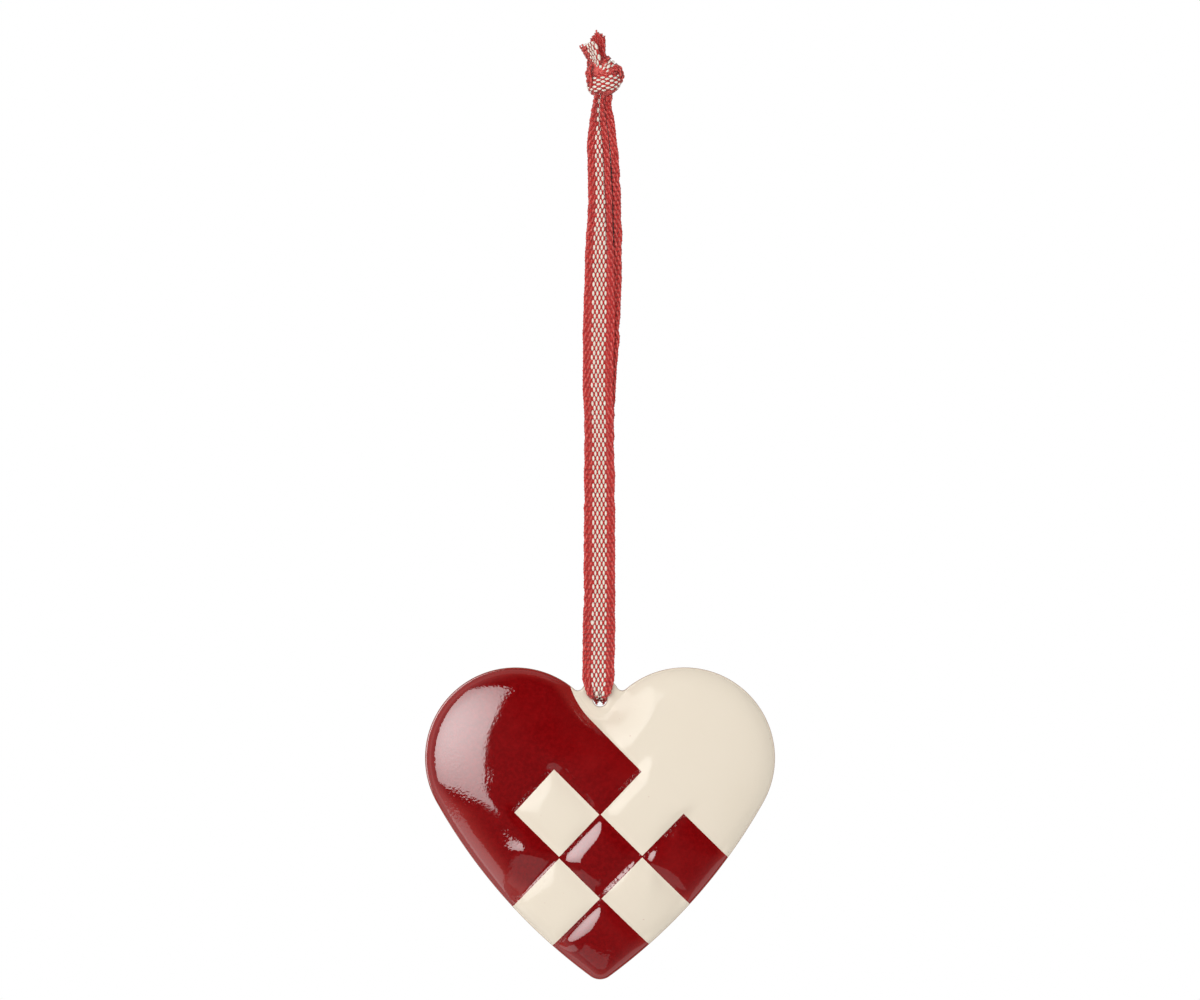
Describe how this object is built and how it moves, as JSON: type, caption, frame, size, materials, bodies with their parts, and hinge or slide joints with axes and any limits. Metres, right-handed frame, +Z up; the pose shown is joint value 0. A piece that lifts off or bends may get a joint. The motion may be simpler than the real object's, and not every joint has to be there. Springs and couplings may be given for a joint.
{
  "type": "heart ornament",
  "caption": "Puffed metal heart ornament painted as a red and cream woven paper heart, lying on its back, with a knotted loop of flat woven ribbon through its tab",
  "frame": {"origin": "on the surface that the heart lies on, under the middle of the heart's width and of its height from tip to lobe tops; the ribbon isn't counted", "axes": "+Z up off the surface and out of the ornament's front; +Y from the heart's tip towards its hanging tab and along the ribbon; +X towards the cream lobe, to the right as the front is seen"},
  "size_m": [0.07, 0.1898, 0.0114],
  "materials": {
    "heart_paint": "gloss enamel in red and cream over pressed steel",
    "ribbon": "woven cotton tape, red with a cream stripe of small floats"
  },
  "bodies": {
    "root": {"heart": "heart_paint", "ribbon_front_run": "ribbon", "ribbon_back_run": "ribbon", "ribbon_knot": "ribbon"}
  },
  "joints": []
}
